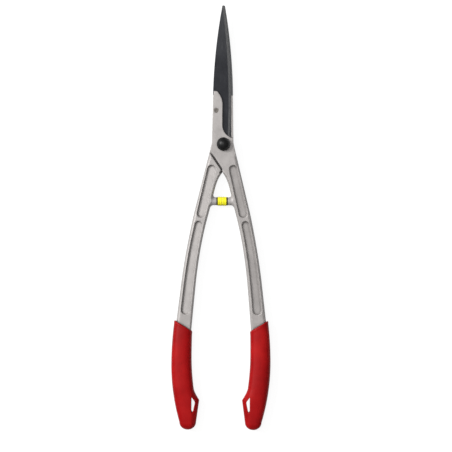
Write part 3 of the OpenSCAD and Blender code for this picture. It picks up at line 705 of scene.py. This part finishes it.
def lathe(name, profile, axis, centre, body, mat, stands_for, seg=96):
    """A closed turned piece: profile of (radius, height) in mm about an axis through centre."""
    pts, faces, rings = [], [], []
    axis = Vector(axis)
    rot = axis.to_track_quat("Z", "Y").to_matrix()
    for r, h in profile:
        if r < 1e-6:
            rings.append([len(pts)])
            pts.append(Vector((0, 0, h)))
        else:
            rings.append(list(range(len(pts), len(pts) + seg)))
            pts += [Vector((r * math.cos(2 * math.pi * k / seg), r * math.sin(2 * math.pi * k / seg), h))
                    for k in range(seg)]
    for A, B in zip(rings, rings[1:]):
        for k in range(seg):
            a0, a1 = A[k % len(A)], A[(k + 1) % len(A)]
            b0, b1 = B[k % len(B)], B[(k + 1) % len(B)]
            face = [v for i, v in enumerate((a0, a1, b1, b0)) if v not in (a0, a1, b1, b0)[:i]]
            if len(face) > 2:
                faces.append(face)
    if len(rings[0]) > 1 and len(rings[-1]) > 1:
        for k in range(seg):  # a ring: close the profile on itself
            A, B = rings[-1], rings[0]
            faces.append([A[k], A[(k + 1) % seg], B[(k + 1) % seg], B[k]])
    me = bpy.data.meshes.new(name)
    c = Vector(centre)
    me.from_pydata([(c + (rot @ p)) / MM for p in pts], [], faces)
    me.validate()
    me.update()
    me.polygons.foreach_set("use_smooth", [True] * len(me.polygons))
    me.materials.append(mat)
    ob = bpy.data.objects.new(name, me)
    bpy.context.scene.collection.objects.link(ob)
    finish_piece(ob, body, stands_for)


def arc(cx, cy, r, a0, a1, n):
    """Points of an arc in n steps, its angles in degrees."""
    return [(cx + r * math.cos(math.radians(a0 + (a1 - a0) * k / n)),
             cy + r * math.sin(math.radians(a0 + (a1 - a0) * k / n))) for k in range(n + 1)]


# The cap over the nut has a straight wall with a soft rim, and a dome on it.
CAP_WALL, CAP_BORE_DEPTH, CAP_SKIN, CAP_LIP, CAP_RIM_R = 4.2, 3.2, 1.3, 0.3, 0.35
DOME_STEPS = 24
lo, hi = [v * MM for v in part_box("pivot_cap")]
cx, cy, R, H = (lo.x + hi.x) / 2, (lo.y + hi.y) / 2, (hi.x - lo.x) / 2, hi.z - lo.z
dome = H - CAP_WALL
ball = (R * R + dome * dome) / (2 * dome)
open_angle = math.degrees(math.asin(R / ball))
profile = [(0.0, CAP_BORE_DEPTH), (R - CAP_SKIN, CAP_BORE_DEPTH), (R - CAP_SKIN, CAP_LIP)]
profile += arc(R - CAP_RIM_R, CAP_RIM_R, CAP_RIM_R, -90, 0, 4) + [(R, CAP_WALL - 1.0)]
for k in range(DOME_STEPS):
    t = math.radians(open_angle * (1 - k / DOME_STEPS) * 0.985)
    profile.append((ball * math.sin(t), H - ball + ball * math.cos(t)))
profile.append((0.0, H))
lathe("pivot_cap_dome", profile, (0, 0, 1), (cx, cy, lo.z), REAR, BLACK, "pivot_cap")

# The bumpers are soft cylinders with rounded rims, a shallow groove and a stem in the arm.
NOSE_R, BACK_R, GROOVE = 1.1, 0.7, 0.28
STEM_R, STEM_LENGTH = 2.5, 9.0
COLLAR_BORE_R, COLLAR_CHAMFER = 2.52, 0.4
for side, body, tag in ((1, FRONT, "front"), (-1, REAR, "rear")):
    lo, hi = [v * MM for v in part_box(tag + "_bumper_seat")]
    blo, bhi = [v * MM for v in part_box(tag + "_bumper")]
    cy, cz, R = (blo.y + bhi.y) / 2, (blo.z + bhi.z) / 2, (bhi.z - blo.z) / 2
    face = blo.x if side > 0 else bhi.x
    start = lo.x if side > 0 else hi.x
    length = abs(start - face)
    profile = [(0, 0.0)] + arc(R - NOSE_R, NOSE_R, NOSE_R, -90, 0, 6)
    profile += [(R, length * 0.42), (R - GROOVE, length * 0.50), (R - GROOVE, length * 0.56),
                (R, length * 0.64)]
    profile += arc(R - BACK_R, length - BACK_R, BACK_R, 0, 90, 6)
    profile += [(STEM_R, length), (STEM_R, length + STEM_LENGTH), (0, length + STEM_LENGTH)]
    lathe(tag + "_bumper_block", profile, (side, 0, 0), (face, cy, cz), body, YELLOW,
          tag + "_bumper")
    R, t, c = (hi.z - lo.z) / 2, hi.x - lo.x, COLLAR_CHAMFER
    profile = [(COLLAR_BORE_R, 0), (R - c, 0), (R, c), (R, t - c), (R - c, t), (COLLAR_BORE_R, t)]
    lathe(tag + "_bumper_collar", profile, (side, 0, 0), (start, cy, cz), body, SEAT,
          tag + "_bumper_seat")

# ---------------------------------------------------------------- CAD pieces kept as they are

for name, mat in {"front_blade": BLADE, "rear_blade": BLADE, "pivot_bolt": ZINC, "pivot_bush": BRASS,
                  "blade_washer": BRASS, "disc_spring": SPRING, "nut_washer": ZINC, "pivot_nut": ZINC,
                  "nut_insert": NYLON, "front_blade_screw": SCREW, "rear_blade_screw": SCREW}.items():
    ob = frame["nodes"][name]
    ob.data.materials.clear()
    ob.data.materials.append(mat)

# ---------------------------------------------------------------- floor, light, camera

FLOOR_GAP = 0.0002
lo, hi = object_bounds()
bpy.ops.mesh.primitive_plane_add(size=6, location=(0, 0, lo[2] - FLOOR_GAP))
floor = bpy.context.object
floor.name = "floor"
fm, nt, sh = new_material("white_table")
sh.inputs["Base Color"].default_value = (0.36, 0.36, 0.36, 1)
sh.inputs["Roughness"].default_value = 0.9
# Seen by the camera it glows white under its shadows; to all other light it is a dull table.
lp = node(nt, "ShaderNodeLightPath")
seen = mathn(nt, "MAXIMUM",
             mathn(nt, "MAXIMUM", lp.outputs["Is Camera Ray"], lp.outputs["Is Glossy Ray"]),
             lp.outputs["Is Transmission Ray"])
pale = node(nt, "ShaderNodeBsdfDiffuse", {"Color": (0.17, 0.17, 0.17, 1)})
glow = node(nt, "ShaderNodeEmission", {"Color": (1, 1, 1, 1), "Strength": 0.90})
both = node(nt, "ShaderNodeAddShader")
link(nt, pale.outputs[0], both.inputs[0])
link(nt, glow.outputs[0], both.inputs[1])
choose = node(nt, "ShaderNodeMixShader")
link(nt, seen, choose.inputs[0])
link(nt, sh.outputs[0], choose.inputs[1])
link(nt, both.outputs[0], choose.inputs[2])
link(nt, choose.outputs[0], [n for n in nt.nodes if n.type == "OUTPUT_MATERIAL"][0].inputs[0])
floor.data.materials.append(fm)

# Soft light from overhead that falls off towards a dim horizon.
world = bpy.data.worlds.new("studio")
bpy.context.scene.world = world
world.use_nodes = True
wt = world.node_tree
bg = wt.nodes["Background"]
bg.inputs[0].default_value = (1, 1, 1, 1)
wc = node(wt, "ShaderNodeTexCoord")
ws = node(wt, "ShaderNodeSeparateXYZ")
link(wt, wc.outputs["Generated"], ws.inputs[0])
link(wt, mapped(wt, ws.outputs["Z"], 0.05, 0.95, 0.06, 0.54), bg.inputs[1])


def lamp_disk(name, pos, target, size, power):
    lamp = bpy.data.lights.new(name, "AREA")
    lamp.shape = "DISK"
    lamp.size = size
    lamp.energy = power
    ob = bpy.data.objects.new(name, lamp)
    bpy.context.scene.collection.objects.link(ob)
    ob.location = pos
    ob.rotation_euler = (Vector(target) - Vector(pos)).to_track_quat("-Z", "Y").to_euler()


lamp_disk("key", (-2.0, 0.9, 1.9), (0, 0, 0), 1.3, 96)
lamp_disk("fill", (-0.55, 0.45, 2.8), (0, 0, 0), 0.8, 16)

# The camera looks straight down; the shears lean a little to the right of upright.
LEAN = 0.00784              # sideways per length
VIEW_WIDTH = 0.6956         # metres across the picture, at the height of the blades
VIEW_HEIGHT = 0.0195
VIEW_DISTANCE = 3.2
SENSOR = 36
turn = math.atan(LEAN)
right = Vector((math.cos(turn), math.sin(turn), 0))
up = Vector((-math.sin(turn), math.cos(turn), 0))
focus = Vector((PX, PY, 0)) / MM + right * 0.0040 - up * 0.1261
focus.z = VIEW_HEIGHT
cam = bpy.data.cameras.new("camera")
cam.sensor_width = SENSOR
cam.lens = SENSOR * VIEW_DISTANCE / VIEW_WIDTH
cam.clip_end = 20
camera = bpy.data.objects.new("camera", cam)
bpy.context.scene.collection.objects.link(camera)
camera.matrix_world = Matrix((
    (right.x, up.x, 0, focus.x),
    (right.y, up.y, 0, focus.y),
    (0, 0, 1, focus.z + VIEW_DISTANCE),
    (0, 0, 0, 1)))
bpy.context.scene.camera = camera
bpy.context.scene.view_settings.view_transform = "Standard"

bpy.context.view_layer.update()
